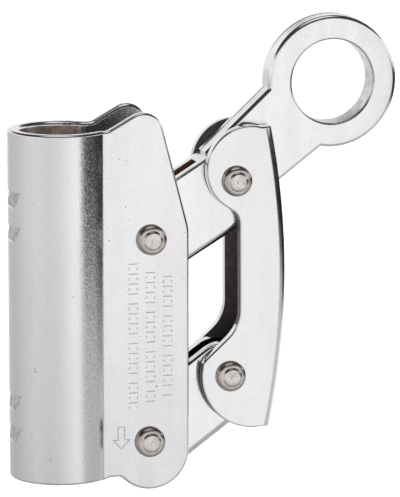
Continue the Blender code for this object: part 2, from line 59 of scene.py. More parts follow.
# ---- body sheet ----
SHEET = 3.8  # thickness
TUBE_R = 16.45  # outer radius of the rope tube
TUBE_LENGTH = 112.0
TUBE_STEP = 2.5  # between the tube's columns of faces
TUBE_LEVELS = (0.0, 6.0, 40.0, 56.0, 72.0, 102.0, TUBE_LENGTH)
PLATE_FACE = 12.3  # outer face of each side plate, from the middle plane
CREASE_R = 1.2  # outer radius of the bend where the tube turns into a plate
CREASE_STEPS = 7
PLATE_EDGE_X = 39.1
LOBE_CENTRE = (26.6, 8.6)  # round lower end of the plates
LOBE_R = PLATE_EDGE_X - LOBE_CENTRE[0]
LOBE_START = -138.0
EAR_TOP = (28.6, 120.7, 6.5)  # corners of the plates' upper outline, as (x, z, radius)
EAR_SHOULDER = (PLATE_EDGE_X, 80.0, 12.0)
EAR_FOOT = (1.5, 3.0)  # x past the crease, and radius
PLATE_FOOT = ((0.9, 0.45), (2.0, 0.7))  # x past the crease, and z, of the step up
PLATE_FOOT_END = (16.3, 0.75)
PLATE_EDGE_R = 0.85  # rounding of the sheet's outer rim
MOUTH_EDGE_R = 1.3  # rounding of its inner rim
PLATE_CUTS = (5.0, 18.6, 28.0, 37.0, 46.0, 55.0, 63.0, 70.0, 84.0, 96.0, 106.0)  # heights between patches
HOLE_PATCH = 7.0  # half width of the patches round the pin holes

# ---- punched dents ----
DENT_TOPS = (92.7, 81.8, 27.6, 17.3)
DENT_HEIGHT = 5.1
DENT_DEEP = 1.87  # depth at a dent's top
DENT_SHALLOW = 0.57  # depth at its foot
DENT_REACH = 60.0  # from the tube's left side
DENT_DROP = 0.4  # lower on the inside
DENT_TOP_LEVELS = (0.15, -0.1, -0.55, -1.6, -3.2)  # rows of points from a dent's top
DENT_FOOT_LEVELS = (0.1, -0.15, -0.5)  # and from its foot

# ---- engraved marks ----
MARK_DEPTH = 0.15
MARK_STROKE = 0.35  # width of a line
MARK_HEIGHT = 3.0
MARK_PITCH = 1.6
MARK_ROWS = ((20.8, 21.0, 69.5), (26.4, 22.0, 66.5), (32.0, 24.0, 65.0))  # x, lowest z and highest z
MARKS_IN_GROUP = 7
ARROW = ((15.5, 17.2), (18.0, 17.2), (18.0, 13.0), (19.8, 13.0), (16.75, 9.7), (13.7, 13.0), (15.5, 13.0))
MARK_AREA = ((13.6, 37.1), (9.6, 70.0))  # x and z limits of the strokes and the arrow

# ---- forgings ----
FORK_HALF = 6.9  # half width of the forks
FORK_SLOT_HALF = 2.9
FORK_EDGE_R = 0.9
FORK_BORE_HALF = 10.0  # half length of the hole cutters
LOWER_EDGE_R = 2.8
LOWER_EDGE_END = 4.0  # past the link pin
LEVER_DEPTHS = (10.4, 14.8)  # above and below the line between the pins
ARM_DEPTHS = (10.6, 14.3)
UNDERSIDE_POINT = 12.0  # a point on the underside, before the link pin
FORK_END_REACH = 8.8  # past the link pin
FORK_END_R = 9.5
NECK_REACH = 4.8  # the top edge dips, this far to the nose side
NECK_R = 5.0
NOSE_SHOULDER = (-20.0, 16.6, 4.0)  # x and z from the pivot, and radius
HUB_START = -125.0
NOSE_REACH = 29.85  # to the nose's lower corner
NOSE_ANGLES = (184.0, 153.0)  # of the toothed face
NOSE_RISE = 3.5  # growth of the reach along it
TOOTH_COUNT = 5
TOOTH_DEPTH = 1.1
TOOTH_CREST = 0.72  # share of a pitch where the lower flank ends
TOOTH_EDGE_R = 0.12
TEETH_END_X = 2 - 0.86 * NOSE_REACH  # from the pivot; the teeth are left of it
LEVER_SLOT_REACH = 26.6  # closed before the link pin
ARM_SLOT_REACH = 50.0  # open at the end
SLOT_OVER = 34.0  # top of the slot's cutter
SLOT_FLOOR = 1.0
POCKET_R = 8.2  # room round the coil
EYE_HALF = 4.8
EYE_EDGE_R = 1.3
EYE_CENTRE = (88.65, 124.0)
EYE_R = 21.2
EYE_HOLE_R = 13.5
EYE_HOLE_EDGE_R = 0.8
EYE_STEP = 3.0  # between the circles' points
EYE_PARTING = (1.5, 0.12, 0.35)  # the raised parting line's y, height and half width
SHANK_UPPER = ((46.6, 102.8), (68.5, 123.2))  # two points on each edge
SHANK_LOWER = ((60.0, 84.3), (84.0, 102.4))
SHANK_ROOT = (50.0, 92.0)  # inside the fork

# ---- link ----
LINK_SHEET = 3.3
LINK_FACE = 10.9  # outer face of each flange
LINK_BEND_R = 2.6
LINK_EDGE_R = 0.6
SPINE_R = 242.0  # the back is a slow arc, farthest right at this x and z
SPINE_X = 71.7
SPINE_Z = 63.6
SPINE_STEP = 1.5
LINK_TOP = 111.2
LINK_BOTTOM = 13.9
UPPER_LOBE = (59.5, 97.8, 14.0)  # x, z and radius
UPPER_LOBE_ARC = (74.0, 236.0)
LOWER_LOBE = (61.2, 31.3, 17.4)
LOWER_LOBE_ARC = (166.0, 270.0)
WAIST_CORNERS = ((56.3, 83.1, 5.0), (56.4, 47.1, 12.0), (45.3, 37.0, 4.0))
PAINTED_SHADE_WAIST = (48.0, 84.0)  # heights of the waist's edge that carries painted shade
PAINTED_SHADE_LOBE_TOP = 40.0  # top of the lower lobe's edge that carries painted shade
CUTTER_OVER = 10.0  # past the link's ends
HOLLOW_LEFT = 30.0
HOLLOW_CORNER_R = 1.0
WEB_SLOT_HALF = 5.5
WEB_SLOT_DROP = 19.5  # below the upper link pin
WEB_SLOT_CORNER_R = 2.5

# ---- small parts ----
PIN_R = 4.0
PIN_HEAD_R = 4.9
PIN_HEAD_HEIGHT = 3.0
PIN_SEAT = 0.3  # a head's underside, from the sheet's face
PIN_RIM = (0.12, 0.2)  # broken edge of the underside: inwards and up
PIN_DOME = ((0, 0.10), (0.35, 0.10), (0.55, 0.03), (0.9, 0.01), (1.25, 0.06), (1.45, 0.10), (1.7, 0.06),
            (2.3, 0.10), (2.7, 0.22), (2.95, 0.42), (3.1, 0.66), (3.25, 0.70), (3.6, 0.72), (4.0, 0.84),
            (4.3, 1.04), (4.55, 1.35), (4.75, 1.75), (4.86, 2.15))  # radius, and depth below the top
PRESS_PLACE = (0.8, -0.4)  # middle of each head's pressed flat, from the axis
PRESS_SQUARE = 4.4  # square of its radius
PRESS_DEPTH = 0.10
HOLE_GAP = 0.3  # between a pin and its hole
OPEN_PIVOT_GAP = 0.6  # the arm's hole round the lower link pin
SHEET_BORE_HALF = 20.0  # half length of the hole cutters
WASHER_R = 7.0
WASHER_CHAMFER = 0.1
BODY_WASHER = 1.0  # thickness
LINK_WASHER = 0.4
BUSH_R = 5.0
BUSH_HALF = 2.6
BUSH_CHAMFER = 0.15
WIRE_R = 0.6
COIL_R = 6.05
COIL_HALF = 2.0
COIL_TURNS = 3
COIL_STEP = 7.0
LEG_REACH = 13.5
LEG_ROOM = 1.5  # past the moving leg's end
LEG_DEPTH = 1.0  # of the fixed leg's end, below the plate's face
WIRE_BEND_R = 1.5
WIRE_BEND_STEP = 15
ANCHOR_REACH = 17.0  # from the pivot to the fixed leg's hole
ANCHOR_ANGLE = 80.0
ANCHOR_HOLE_R = 0.95
ANCHOR_BORE_HALF = 4.0

# ---- meshes ----
ARC_STEP = 4.0
EDGE_STEPS = 4  # rows of faces round a rounded edge
NEARLY_STRAIGHT = 0.3  # sine of a turn that counts as none
SHARP_ANGLE = 35.0  # of edges shaded sharp
BODY_SHARP_ANGLE = 26.0
PIN_SHARP_ANGLE = 50.0


def joint_place(name):
    """The (x, z) of a joint's axis, in millimetres."""
    joint = next(j for j in frame["joints"] if j["name"] == name)
    return (joint["pos_m"][0] / MM, joint["pos_m"][2] / MM)


def node_place(node):
    """The (x, z) of a node's middle, in millimetres."""
    low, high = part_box(node)
    return ((low[0] + high[0]) / 2 / MM, (low[2] + high[2]) / 2 / MM)


LEVER_PIVOT = joint_place("lever_pivot")
ARM_PIVOT = joint_place("arm_pivot")
LEVER_LINK = joint_place("link_pivot")
ARM_LINK = node_place("lower_link_pin")


# ---- outlines ----

def polar(centre, radius, angle):
    """The point at a distance and an angle from a centre."""
    angle = radians(angle)
    return (centre[0] + radius * cos(angle), centre[1] + radius * sin(angle))


def arc(centre, radius, start, end, step=ARC_STEP):
    """Points on a circle from the start angle to the end angle."""
    count = max(2, int(abs(end - start) / step + 0.999))
    return [polar(centre, radius, start + (end - start) * i / count) for i in range(count + 1)]


def rounded(corners):
    """An outline from (x, y, radius) corners, each corner turned into an arc of its radius."""
    points = []
    for i, (x, y, radius) in enumerate(corners):
        corner = Vector((x, y))
        if radius == 0:
            points.append((x, y))
            continue
        to_last = (Vector(corners[i - 1][:2]) - corner).normalized()
        to_next = (Vector(corners[(i + 1) % len(corners)][:2]) - corner).normalized()
        half = acos(max(-1.0, min(1.0, to_last.dot(to_next)))) / 2
        centre = corner + (to_last + to_next).normalized() * (radius / sin(half))
        first = corner + to_last * (radius / tan(half)) - centre
        last = corner + to_next * (radius / tan(half)) - centre
        start = degrees(atan2(first.y, first.x))
        turn = (degrees(atan2(last.y, last.x)) - start + 180) % 360 - 180
        points += arc(centre, radius, start, start + turn, 2 * ARC_STEP)
    return points


def along(pivot, link):
    """Unit vectors from a pivot to its link pin and square to that, upwards; the distance; and the tilt."""
    dx, dz = link[0] - pivot[0], link[1] - pivot[1]
    reach = hypot(dx, dz)
    dx, dz = dx / reach, dz / reach
    return ((dx, dz), (-dz, dx)), reach, degrees(atan2(dz, dx))


def local(pivot, directions, u, n):
    """The (x, z) place that lies u along and n above the line through the pivot."""
    along_dir, up_dir = directions
    return (pivot[0] + u * along_dir[0] + n * up_dir[0], pivot[1] + u * along_dir[1] + n * up_dir[1])


def intersect_circle(first, second, centre, radius):
    """Where the line through two points first meets a circle, going from the first to the second."""
    dx, dz = second[0] - first[0], second[1] - first[1]
    length = hypot(dx, dz)
    dx, dz = dx / length, dz / length
    fx, fz = first[0] - centre[0], first[1] - centre[1]
    middle = fx * dx + fz * dz
    step = -middle - sqrt(middle * middle - fx * fx - fz * fz + radius * radius)
    return (first[0] + step * dx, first[1] + step * dz)


# ---- mesh tools ----

def new_object(name, bm):
    """A linked object made from the bmesh, with its faces turned outwards."""
    bmesh.ops.recalc_face_normals(bm, faces=bm.faces)
    mesh = bpy.data.meshes.new(name)
    bm.to_mesh(mesh)
    bm.free()
    obj = bpy.data.objects.new(name, mesh)
    bpy.context.scene.collection.objects.link(obj)
    return obj


def inset_ring(outline, insets):
    """The outline, anticlockwise, moved inwards; insets[i] is for the side that ends at point i."""
    moved = []
    for i, point in enumerate(outline):
        before = Vector(point) - Vector(outline[i - 1])
        after = Vector(outline[(i + 1) % len(outline)]) - Vector(point)
        first = Vector((-before.y, before.x)).normalized()
        second = Vector((-after.y, after.x)).normalized()
        a, b = insets[i], insets[(i + 1) % len(outline)]
        turn = first.x * second.y - first.y * second.x
        if abs(turn) < NEARLY_STRAIGHT:
            shift = (first + second).normalized() * ((a + b) / 2)
        else:
            shift = Vector((a * second.y - b * first.y, b * first.x - a * second.x)) / turn
        moved.append((point[0] + shift.x, point[1] + shift.y))
    return moved


def anticlockwise(outline):
    """The outline, turned round if it runs clockwise."""
    area = 0
    for i, (x, z) in enumerate(outline):
        area += outline[i - 1][0] * z - x * outline[i - 1][1]
    return outline if area > 0 else list(reversed(outline))


def edge_rows(half, radius_at, outline, parting=None):
    """Rows of (points, y values) round a prism's edge: from its front face, over its side, to its back face.
    parting is (y, height, half width) of a raised line round the side."""
    sides = [((x + outline[i - 1][0]) / 2, (z + outline[i - 1][1]) / 2)
             for i, (x, z) in enumerate(outline)]
    radii = [radius_at(side) for side in sides]
    depths = [max(r, radii[(i + 1) % len(radii)]) for i, r in enumerate(radii)]
    rows = []
    for k in range(EDGE_STEPS + 1):
        angle = radians(90 * k / EDGE_STEPS)
        points = inset_ring(outline, [r * (1 - sin(angle)) for r in radii])
        rows.append((points, [-half + r * (1 - cos(angle)) for r in depths]))
    if parting:
        place, height, spread = parting
        for y, rise in ((place - spread, 0.0), (place, height), (place + spread, 0.0)):
            rows.append((inset_ring(outline, [-rise] * len(outline)), [y] * len(outline)))
    for points, heights in reversed(rows[:EDGE_STEPS + 1]):
        rows.append((points, [-y for y in heights]))
    return rows


def skin(bm, rows):
    """Faces between rows of points; returns the first and the last row's vertices."""
    rings = []
    for points, heights in rows:
        rings.append([bm.verts.new((x * MM, y * MM, z * MM)) for (x, z), y in zip(points, heights)])
    for first, second in zip(rings, rings[1:]):
        for i in range(len(first)):
            bm.faces.new((first[i - 1], first[i], second[i], second[i - 1]))
    return rings[0], rings[-1]


def ring_edges(bm, ring):
    """The edges between a closed ring's vertices."""
    return [bm.edges.get((ring[i - 1], ring[i])) for i in range(len(ring))]


def rounded_prism(name, outline, half, radius_at, hole=None, hole_edge_r=0.5, parting=None):
    """A prism along Y with rounded edges; radius_at gives the edge radius at a place on the outline."""
    bm = bmesh.new()
    outline = anticlockwise(outline)
    front, back = skin(bm, edge_rows(half, radius_at, outline, parting))
    if hole is None:
        bm.faces.new(front)
        bm.faces.new(back)
        return new_object(name, bm)
    hole = list(reversed(anticlockwise(hole)))
    hole_front, hole_back = skin(bm, edge_rows(half, lambda place: hole_edge_r, hole))
    for outer, inner in ((front, hole_front), (back, hole_back)):
        bmesh.ops.triangle_fill(bm, use_beauty=True, edges=ring_edges(bm, outer) + ring_edges(bm, inner))
    return new_object(name, bm)


def plain_prism(name, outline, half):
    """A prism along Y with plain edges."""
    bm = bmesh.new()
    outline = anticlockwise(outline)
    front, back = skin(bm, [(outline, [y] * len(outline)) for y in (-half, half)])
    bm.faces.new(front)
    bm.faces.new(back)
    return new_object(name, bm)


def round_bar(name, place, radius, half, steps=64):
    """A round bar along Y through the (x, z) place."""
    bm = bmesh.new()
    move = Matrix.Translation((place[0] * MM, 0, place[1] * MM)) @ Matrix.Rotation(pi / 2, 4, "X")
    bmesh.ops.create_cone(bm, cap_ends=True, segments=steps, radius1=radius * MM, radius2=radius * MM,
                          depth=2 * half * MM, matrix=move)
    return new_object(name, bm)


def turned(name, place, profile, steps=72):
    """A closed profile of (radius, y) points turned about the Y axis through the (x, z) place."""
    bm = bmesh.new()
    spokes = []
    for i in range(steps):
        angle = 2 * pi * i / steps
        spoke = []
        for radius, y in profile:
            if radius > 0 or i == 0:
                x, z = place[0] + radius * cos(angle), place[1] + radius * sin(angle)
                spoke.append(bm.verts.new((x * MM, y * MM, z * MM)))
            else:
                spoke.append(spokes[0][len(spoke)])
        spokes.append(spoke)
    last = len(profile) if profile[0][0] > 0 else len(profile) - 1
    for i in range(steps):
        for k in range(last):
            loop = (spokes[i - 1][k], spokes[i][k], spokes[i][(k + 1) % len(profile)],
                    spokes[i - 1][(k + 1) % len(profile)])
            corners = list(dict.fromkeys(loop))
            if len(corners) > 2:
                bm.faces.new(corners)
    return new_object(name, bm)


def boolean(obj, other, operation="DIFFERENCE"):
    """Cut or join at once, and remove the other object."""
    modifier = obj.modifiers.new(other.name, "BOOLEAN")
    modifier.operation = operation
    modifier.object = other
    modifier.solver = "EXACT"
    settle(obj)
    bpy.data.objects.remove(other, do_unlink=True)


def settle(obj):
    """Replace the object's mesh by its evaluated one."""
    evaluated = obj.evaluated_get(bpy.context.evaluated_depsgraph_get())
    mesh = bpy.data.meshes.new_from_object(evaluated)
    obj.modifiers.clear()
    obj.data = mesh


def paint(obj, looks, pick=None):
    """Give the object its materials; pick(centre, normal, reach) gives a face's material number, where reach
    is how far the face's farthest corner is from the middle plane."""
    obj.data.materials.clear()
    for look in looks:
        obj.data.materials.append(look)
    if pick is None:
        return
    for face in obj.data.polygons:
        reach = max(abs(obj.data.vertices[i].co.y) for i in face.vertices)
        face.material_index = pick(face.center / MM, face.normal, reach / MM)


def smooth(obj, angle=SHARP_ANGLE):
    obj.data.shade_smooth()
    obj.data.set_sharp_from_angle(angle=radians(angle))
    weighted = obj.modifiers.new("flat faces stay flat", "WEIGHTED_NORMAL")
    weighted.weight = 90
    weighted.keep_sharp = True


def place_piece(obj, node, body, looks, pick=None, angle=SHARP_ANGLE):
    """Paint and smooth a piece, and let it stand in for its CAD node."""
    paint(obj, looks, pick)
    smooth(obj, angle)
    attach(obj, body)
    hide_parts(node)


# ---- materials ----

RUST = (0.36, 0.20, 0.17)
RUST_ROUGHNESS = 0.6
BAND_DEPTH = 55  # micrometres
BAND_ROUGHNESS = 0.21
RIVET_RINGS = 11.0  # radians of the turning marks per millimetre


class Nodes:
    """A node tree and the few recipes that the metals and the studio share."""

    def __init__(self, tree, places):
        self.tree = tree
        self.places = tree.nodes.new("ShaderNodeTexCoord").outputs[places]

    def plug(self, value, socket):
        """Link an output to the socket, or set the socket to a number or a colour."""
        if isinstance(value, tuple):
            socket.default_value = (*value, 1)
        elif isinstance(value, (int, float)):
            socket.default_value = value
        else:
            self.tree.links.new(value, socket)

    def split(self):
        """The X, Y and Z of the shaded point."""
        node = self.tree.nodes.new("ShaderNodeSeparateXYZ")
        self.plug(self.places, node.inputs["Vector"])
        return tuple(node.outputs)

    def noise(self, size, stretch=(1, 1, 1), turn=(0, 0, 0), detail=3.0, seed=(0, 0, 0)):
        """Noise whose spots are about `size` millimetres, times the stretch along each axis."""
        mapping = self.tree.nodes.new("ShaderNodeMapping")
        mapping.inputs["Rotation"].default_value = [radians(a) for a in turn]
        mapping.inputs["Scale"].default_value = [1 / (s * size * MM) for s in stretch]
        mapping.inputs["Location"].default_value = seed
        self.plug(self.places, mapping.inputs["Vector"])
        noise = self.tree.nodes.new("ShaderNodeTexNoise")
        noise.inputs["Scale"].default_value = 1.0
        noise.inputs["Detail"].default_value = detail
        self.plug(mapping.outputs["Vector"], noise.inputs["Vector"])
        return noise.outputs["Fac"]

    def ramp(self, value, *stops):
        """A colour or grey ramp over the value, from (position, colour) stops."""
        ramp = self.tree.nodes.new("ShaderNodeValToRGB")
        elements = ramp.color_ramp.elements
        for extra in stops[2:]:
            elements.new(extra[0])
        for element, (position, colour) in zip(elements, sorted(stops)):
            element.position = position
            element.color = (*colour, 1) if isinstance(colour, tuple) else (colour, colour, colour, 1)
        self.plug(value, ramp.inputs["Fac"])
        return ramp.outputs["Color"]

    def math(self, operation, *values):
        node = self.tree.nodes.new("ShaderNodeMath")
        node.operation = operation
        for socket, value in zip(node.inputs, values):
            self.plug(value, socket)
        return node.outputs["Value"]

    def between(self, value, low, high):
        """0 at the low value, 1 at the high one."""
        share = self.math("DIVIDE", self.math("SUBTRACT", value, low), high - low)
        return self.math("MINIMUM", self.math("MAXIMUM", share, 0.0), 1.0)

    def mix(self, factor, first, second, blend="MIX"):
        node = self.tree.nodes.new("ShaderNodeMix")
        node.data_type = "RGBA"
        node.blend_type = blend
        sockets = (node.inputs[0], node.inputs[6], node.inputs[7])  # the factor and the two colours
        for socket, value in zip(sockets, (factor, first, second)):
            self.plug(value, socket)
        return node.outputs[2]

    def multiply(self, first, second):
        return self.mix(1.0, first, second, "MULTIPLY")

    def bump(self, height, depth, normal=None):
        """A bump whose full height is `depth` micrometres."""
        node = self.tree.nodes.new("ShaderNodeBump")
        node.inputs["Strength"].default_value = 1.0
        node.inputs["Distance"].default_value = depth * 1e-6
        self.plug(height, node.inputs["Height"])
        if normal is not None:
            self.plug(normal, node.inputs["Normal"])
        return node.outputs["Normal"]


class Look(Nodes):
    """A Principled material, metal unless metallic says less."""

    def __init__(self, name, metallic=1.0):
        self.material = bpy.data.materials.new(name)
        self.material.use_nodes = True
        super().__init__(self.material.node_tree, "Object")
        self.shader = self.tree.nodes["Principled BSDF"]
        self.shader.inputs["Metallic"].default_value = metallic

    def connect(self, colour, roughness, normal):
        for name, value in (("Base Color", colour), ("Roughness", roughness), ("Normal", normal)):
            self.plug(value, self.shader.inputs[name])
        return self.material


def coarse_band(look, places, limits):
    """The coarse grain of the stretched sheet, between two x limits: its strength, which fades towards the
    tube's foot, and its noise."""
    middle = look.math("SUBTRACT", places[0], sum(limits) / 2 * MM)
    away = look.math("DIVIDE", look.math("ABSOLUTE", middle), (limits[1] - limits[0]) / 2 * MM)
    grain = look.noise(0.42, stretch=(1, 1, 1.9), detail=2.0, seed=(5, 2, 8))
    strength = look.ramp(away, (0.45, 1.0), (1.0, 0.0))
    height = look.between(places[2], 5 * MM, TUBE_LENGTH * MM)
    return look.multiply(strength, look.ramp(height, (0.0, 0.08), (0.9, 1.0))), grain


def plating(name, bright, dull, grain, scratches, specks, fade=None, grainy=None):
    """Bright plating: slow tint changes, fine orange peel, hair scratches and a few rust specks. grain and
    scratches are depths in micrometres, and specks is the noise level above which rust shows. fade gives two
    heights and the share of brightness left at the lower one; grainy gives the coarse band's x limits."""
    look = Look(name)
    places = look.split()
    tint = look.ramp(look.noise(14, stretch=(0.35, 0.35, 3.0), detail=1.0), (0.38, bright), (0.62, dull))
    if fade:
        low, high, left = fade
        share = look.between(places[2], low * MM, high * MM)
        tint = look.multiply(tint, look.ramp(share, (0.0, left), (1.0, 1.0)))
    worn = look.ramp(look.noise(0.9, detail=4.0, seed=(3, 1, 7)), (specks, 0.0), (specks + 0.02, 1.0))
    colour = look.mix(worn, tint, RUST)
    peel = look.noise(0.45, detail=2.0)
    colour = look.multiply(colour, look.ramp(peel, (0.38, 0.945), (0.6, 1.0)))
    normal = look.bump(peel, grain)
    cloud = look.ramp(look.noise(5, detail=3.0, seed=(2, 5, 1)), (0.3, 0.13), (0.7, 0.20))
    if grainy:
        strength, coarse = coarse_band(look, places, grainy)
        normal = look.bump(look.math("MULTIPLY", coarse, strength), BAND_DEPTH, normal)
        pits = look.ramp(coarse, (0.38, 0.36), (0.60, 1.0))
        colour = look.mix(strength, colour, look.multiply(colour, pits))
        cloud = look.mix(strength, cloud, (BAND_ROUGHNESS,) * 3)
    slanted = look.noise(0.16, stretch=(1, 1, 40), turn=(0, 38, 0), detail=2.0)
    upright = look.noise(0.22, stretch=(1, 1, 60), detail=2.0, seed=(9, 0, 2))
    normal = look.bump(look.ramp(slanted, (0.62, 0.0), (0.72, 1.0)), -scratches, normal)
    normal = look.bump(look.ramp(upright, (0.60, 0.0), (0.75, 1.0)), -0.7 * scratches, normal)
    return look.connect(colour, look.mix(worn, cloud, (RUST_ROUGHNESS,) * 3), normal)


def dull_steel(name, light, dark, roughness, size=1.2, depth=6, metallic=1.0):
    """Unplated or worn metal, and dark painted shade: blotches of two colours, `size` across, and a bump of
    `depth` micrometres.
    """
    look = Look(name, metallic)
    colour = look.ramp(look.noise(size, detail=4.0), (0.35, light), (0.68, dark))
    cloud = look.noise(size * 2, detail=2.0, seed=(4, 4, 0))
    rough = look.ramp(cloud, (0.3, roughness), (0.7, roughness + 0.12))
    return look.connect(colour, rough, look.bump(look.noise(size * 0.4, detail=2.0), depth))


def spun_steel(name, place):
    """Turned rivet heads: rings about the pin's axis, warm grey, with painted shade that darkens them towards
    the rim.
    """
    look = Look(name)
    x, _, z = look.split()
    across = look.math("SUBTRACT", x, place[0] * MM)
    upward = look.math("SUBTRACT", z, place[1] * MM)
    squares = look.math("ADD", look.math("MULTIPLY", across, across), look.math("MULTIPLY", upward, upward))
    radius = look.math("MULTIPLY", look.math("SQRT", squares), 1 / MM)
    rings = look.math("SINE", look.math("MULTIPLY", radius, RIVET_RINGS))
    wobble = look.noise(1.1, detail=3.0)
    height = look.math("ADD", rings, look.math("MULTIPLY", wobble, 2.5))
    share = look.math("MULTIPLY", radius, 0.2)
    # painted shade: the colour darkens towards the head's rim
    rim = look.ramp(share, (0.55, (0.80, 0.765, 0.735)), (0.93, (0.52, 0.47, 0.44)))
    stain = look.ramp(look.noise(2.2, detail=4.0, seed=(1, 8, 3)), (0.40, 0.0), (0.66, 0.55))
    colour = look.mix(stain, rim, (0.46, 0.40, 0.37))
    rough = look.ramp(wobble, (0.3, 0.20), (0.7, 0.34))
    return look.connect(colour, rough, look.bump(height, 6.5))


sheet_plating = plating("sheet_plating", (0.90, 0.905, 0.922), (0.89, 0.862, 0.886), 4.4, 4.5, 0.725,
                        fade=(0.0, 85.0, 0.885), grainy=(2.0, 12.0))
link_plating = plating("link_plating", (0.90, 0.90, 0.912), (0.88, 0.88, 0.895), 0.9, 0.8, 0.76)
forged_plating = plating("forged_plating", (0.945, 0.945, 0.95), (0.90, 0.90, 0.915), 1.3, 0.9, 0.75)
engraving = dull_steel("engraved_marks", (0.76, 0.76, 0.78), (0.55, 0.55, 0.57), 0.35, 0.8)
dent_steel = dull_steel("punched_dents", (0.74, 0.73, 0.75), (0.40, 0.37, 0.36), 0.22, 1.8, 9)
eye_wall = dull_steel("worn_eye", (0.80, 0.80, 0.82), (0.52, 0.52, 0.54), 0.20, 2.4, 8)
tube_inside = dull_steel("tube_inside", (0.86, 0.76, 0.68), (0.54, 0.45, 0.40), 0.28)
# the plates' inner faces: near-black painted shade, broken by lighter specks
plate_inside_painted_shade = dull_steel("plate_inside_painted_shade", (0.62, 0.62, 0.64), (0.06, 0.06, 0.065), 0.25, 0.35, 10)
slot_brown = dull_steel("slot_brown", (0.78, 0.48, 0.34), (0.46, 0.28, 0.20), 0.32)
# the arm's slot between its cheeks: near-black painted shade
arm_slot_painted_shade = dull_steel("arm_slot_painted_shade", (0.075, 0.065, 0.066), (0.03, 0.026, 0.026), 0.35)
# inside the link's channel and on its waist's edge: dark brownish painted shade
link_inside_painted_shade = dull_steel("link_inside_painted_shade", (0.17, 0.145, 0.14), (0.11, 0.09, 0.088), 0.40, metallic=0.1)
# the lower lobe's left edge: near-black painted shade of the gap between the lobe and the arm
lobe_edge_painted_shade = dull_steel("lobe_edge_painted_shade", (0.03, 0.027, 0.027), (0.012, 0.011, 0.011), 0.30)
spring_steel = dull_steel("drawn_spring_wire", (0.33, 0.32, 0.31), (0.22, 0.21, 0.20), 0.30, 0.5)
washer_steel = dull_steel("washer_plate", (0.66, 0.65, 0.63), (0.52, 0.51, 0.50), 0.28, 0.8)
bronze = dull_steel("bush_bronze", (0.56, 0.39, 0.19), (0.42, 0.27, 0.12), 0.34, 0.9)


# ---- body sheet ----

def crease_geometry():
    """Centre of the bend between tube and plate, and the tube's half opening, in degrees."""
    bend_r = CREASE_R + SHEET / 2
    bend_y = PLATE_FACE - SHEET / 2 + bend_r
    bend_x = sqrt((TUBE_R - SHEET / 2 + bend_r) ** 2 - bend_y ** 2)
    return bend_x, bend_y, degrees(atan2(bend_y, bend_x))


def dent_depth(z):
    """How deep the dents are at a height, on the tube's left side."""
    for top in DENT_TOPS:
        if top - DENT_HEIGHT <= z <= top:
            return DENT_SHALLOW + (DENT_DEEP - DENT_SHALLOW) * (z - top + DENT_HEIGHT) / DENT_HEIGHT
    return 0.0


def sheet_columns():
    """Columns round the bent part, from the front plate to the back one. A column gives its outer and inner
    (x, y) at a height."""
    bend_x, bend_y, opening = crease_geometry()

    def crease(sign, i):
        angle = radians(270 - (90 - opening) * i / CREASE_STEPS)
        places = [(bend_x + radius * cos(angle), sign * (bend_y + radius * sin(angle)))
                  for radius in (CREASE_R, CREASE_R + SHEET)]
        return lambda z: places

    def tube(angle):
        ux, uy = cos(radians(angle)), sin(radians(angle))
        away = abs(angle - 180)

        def wall(radius, z):
            depth = dent_depth(z)
            if depth and away < DENT_REACH:
                radius = min(radius, (radius - depth) / cos(radians(away)))
            return (radius * ux, radius * uy)

        return lambda z: (wall(TUBE_R, z), wall(TUBE_R - SHEET, z + DENT_DROP))

    span = 360 - 2 * opening
    count = int(span / TUBE_STEP)
    return ([crease(-1, i) for i in range(CREASE_STEPS + 1)]
            + [tube(360 - opening - span * i / count) for i in range(1, count)]
            + [crease(1, i) for i in range(CREASE_STEPS, -1, -1)])


def sheet_levels():
    """Heights of the rows of points on the tube, close together at the dents' edges."""
    levels = list(TUBE_LEVELS)
    for top in DENT_TOPS:
        levels += [top + rise for rise in DENT_TOP_LEVELS]
        levels += [top - DENT_HEIGHT + rise for rise in DENT_FOOT_LEVELS]
    return sorted(levels)


def plate_outline():
    """A plate's outline from the foot of the crease, round the lobe and the ear, to the top of the crease."""
    bend_x, _, _ = crease_geometry()
    lobe = arc(LOBE_CENTRE, LOBE_R, LOBE_START, 0)
    corners = rounded([
        (*lobe[-1], 0),
        EAR_SHOULDER,
        EAR_TOP,
        (bend_x + EAR_FOOT[0], TUBE_LENGTH, EAR_FOOT[1]),
        (bend_x, TUBE_LENGTH, 0),
    ])
    foot = [(bend_x + x, z) for x, z in PLATE_FOOT] + [PLATE_FOOT_END]
    return foot + lobe[:-1] + corners[:-1]


def patch_plates(body):
    """Cut the plates' big faces into patches, so that the holes and marks are cut from compact faces."""
    bm = bmesh.new()
    bm.from_mesh(body.data)
    cuts = [(z, (0, 0, 1)) for z in PLATE_CUTS]
    cuts += [(LEVER_PIVOT[0] + side * HOLE_PATCH, (1, 0, 0)) for side in (-1, 1)]
    for place, normal in cuts:
        bm.normal_update()
        plates = [face for face in bm.faces
                  if abs(face.normal.y) > 0.999 and min(vert.co.x for vert in face.verts) > 0]
        plates += list({edge for face in plates for edge in face.edges}
                       | {vert for face in plates for vert in face.verts})
        bmesh.ops.bisect_plane(bm, geom=plates, plane_co=Vector(normal) * place * MM, plane_no=normal)
    bm.to_mesh(body.data)
    bm.free()


def make_strokes():
    """Three rows of plain strokes, in place of the words engraved on the front plate."""
    bm = bmesh.new()

    def stroke(x, z, width, height):
        size = Matrix.Diagonal((width * MM, 2 * MARK_DEPTH * MM, height * MM, 1))
        place = Matrix.Translation((x * MM, -PLATE_FACE * MM, z * MM))
        bmesh.ops.create_cube(bm, size=1, matrix=place @ size)

    for x, low, high in MARK_ROWS:
        for i in range(int((high - low) / MARK_PITCH)):
            z = high - i * MARK_PITCH
            place = i % (MARKS_IN_GROUP + 1)
            if place == MARKS_IN_GROUP:
                continue
            if place % 2 == 0:
                stroke(x, z, MARK_HEIGHT, MARK_STROKE)
            else:
                for side in (-1, 1):
                    stroke(x + side * (MARK_HEIGHT - MARK_STROKE) / 2, z, MARK_STROKE, MARK_PITCH / 2)
    return new_object("engraved_strokes", bm)


